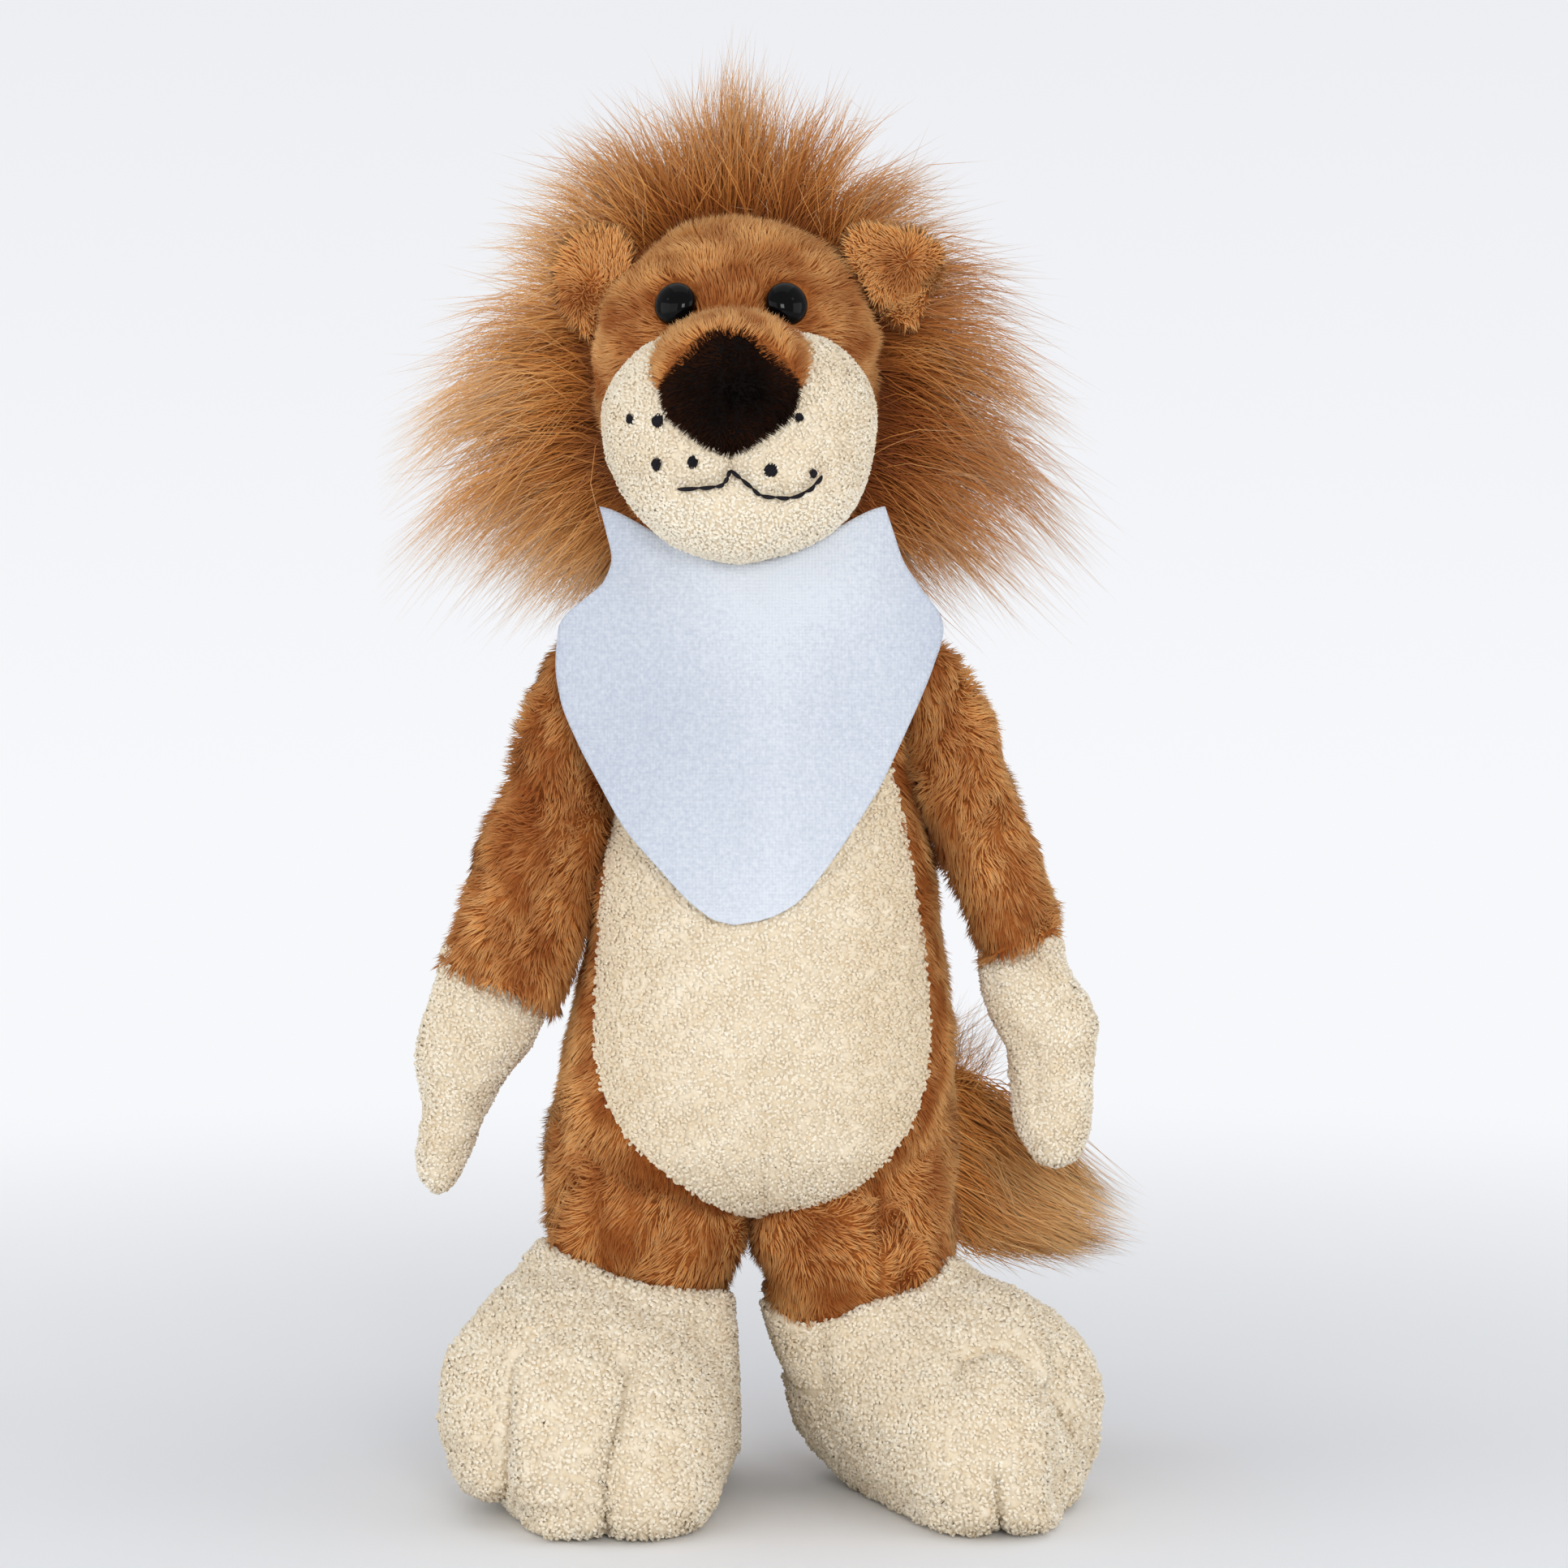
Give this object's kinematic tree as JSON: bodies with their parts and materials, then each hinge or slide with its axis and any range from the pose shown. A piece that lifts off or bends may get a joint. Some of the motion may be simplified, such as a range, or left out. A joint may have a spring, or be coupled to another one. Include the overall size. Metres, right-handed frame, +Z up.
{
  "type": "plush lion",
  "caption": "Standing plush lion with a long-pile mane, looped-fleece muzzle, belly, hands and boots, a plain neckerchief, and a head, arms, legs and tail that turn at their seams.",
  "frame": {"origin": "on the floor at the middle of the toy's overall box", "axes": "+Z up, the face looks along -Y, the toy's own left is +X"},
  "size_m": [0.1632, 0.1305, 0.327],
  "materials": {
    "brown_plush": "short brushed pile",
    "looped_fleece": "looped fleece",
    "long_pile": "long pile",
    "kerchief_cloth": "plain weave",
    "nose_plush": "short brushed pile",
    "stitching": "embroidery thread",
    "filling": "polyester fibre",
    "glossy_black": "gloss",
    "washer_plastic": "moulded"
  },
  "bodies": {
    "torso": {"body_cover": "brown_plush", "belly_panel": "looped_fleece", "body_stuffing": "filling", "bib": "kerchief_cloth", "bib_neckband": "kerchief_cloth"},
    "head": {"head_cover": "brown_plush", "head_stuffing": "filling", "muzzle_cover": "looped_fleece", "muzzle_stuffing": "filling", "nose_bridge": "brown_plush", "nose": "nose_plush", "right_eye": "glossy_black", "left_eye": "glossy_black", "right_eye_washer": "washer_plastic", "left_eye_washer": "washer_plastic", "right_ear_lining": "brown_plush", "left_ear_lining": "brown_plush", "right_ear_back": "brown_plush", "left_ear_back": "brown_plush", "mane": "long_pile", "mouth_stitch_right": "stitching", "mouth_stitch_left": "stitching", "whisker_dot_1": "stitching", "whisker_dot_2": "stitching", "whisker_dot_3": "stitching", "whisker_dot_4": "stitching", "whisker_dot_5": "stitching", "whisker_dot_6": "stitching", "whisker_dot_7": "stitching"},
    "right_arm": {"right_arm_cover": "brown_plush", "right_arm_stuffing": "filling", "right_hand_cover": "looped_fleece"},
    "left_arm": {"left_arm_cover": "brown_plush", "left_arm_stuffing": "filling", "left_hand_cover": "looped_fleece"},
    "right_leg": {"right_leg_cover": "brown_plush", "right_leg_stuffing": "filling", "right_foot_cover": "looped_fleece", "right_foot_stuffing": "filling", "right_pellet_bag": "kerchief_cloth", "right_sole_panel": "looped_fleece"},
    "left_leg": {"left_leg_cover": "brown_plush", "left_leg_stuffing": "filling", "left_foot_cover": "looped_fleece", "left_foot_stuffing": "filling", "left_pellet_bag": "kerchief_cloth", "left_sole_panel": "looped_fleece"},
    "tail": {"tail_cover": "brown_plush", "tail_stuffing": "filling", "tail_tuft": "long_pile"}
  },
  "joints": [
    {"name": "neck_turn", "type": "hinge", "parent": "torso", "child": "head", "pos_m": [-0.0064, 0.0015, 0.216], "axis": [0, 0, 1], "range_deg": [-15, 15], "stiffness_Nm_per_rad": 0.3},
    {"name": "right_shoulder", "type": "hinge", "parent": "torso", "child": "right_arm", "pos_m": [-0.0424, -0.0075, 0.19], "axis": [0, 1, 0], "range_deg": [0, 75]},
    {"name": "left_shoulder", "type": "hinge", "parent": "torso", "child": "left_arm", "pos_m": [0.0326, -0.0075, 0.191], "axis": [0, -1, 0], "range_deg": [0, 75]},
    {"name": "right_hip", "type": "hinge", "parent": "torso", "child": "right_leg", "pos_m": [-0.0304, -0.0015, 0.08], "axis": [-1, 0, 0], "range_deg": [-10, 25], "stiffness_Nm_per_rad": 1.5},
    {"name": "left_hip", "type": "hinge", "parent": "torso", "child": "left_leg", "pos_m": [0.017, -0.0015, 0.08], "axis": [-1, 0, 0], "range_deg": [-10, 25], "stiffness_Nm_per_rad": 1.5},
    {"name": "tail_swing", "type": "hinge", "parent": "torso", "child": "tail", "pos_m": [0.0016, 0.0439, 0.086], "axis": [0, 0, 1], "range_deg": [-8, 125], "stiffness_Nm_per_rad": 0.05}
  ]
}
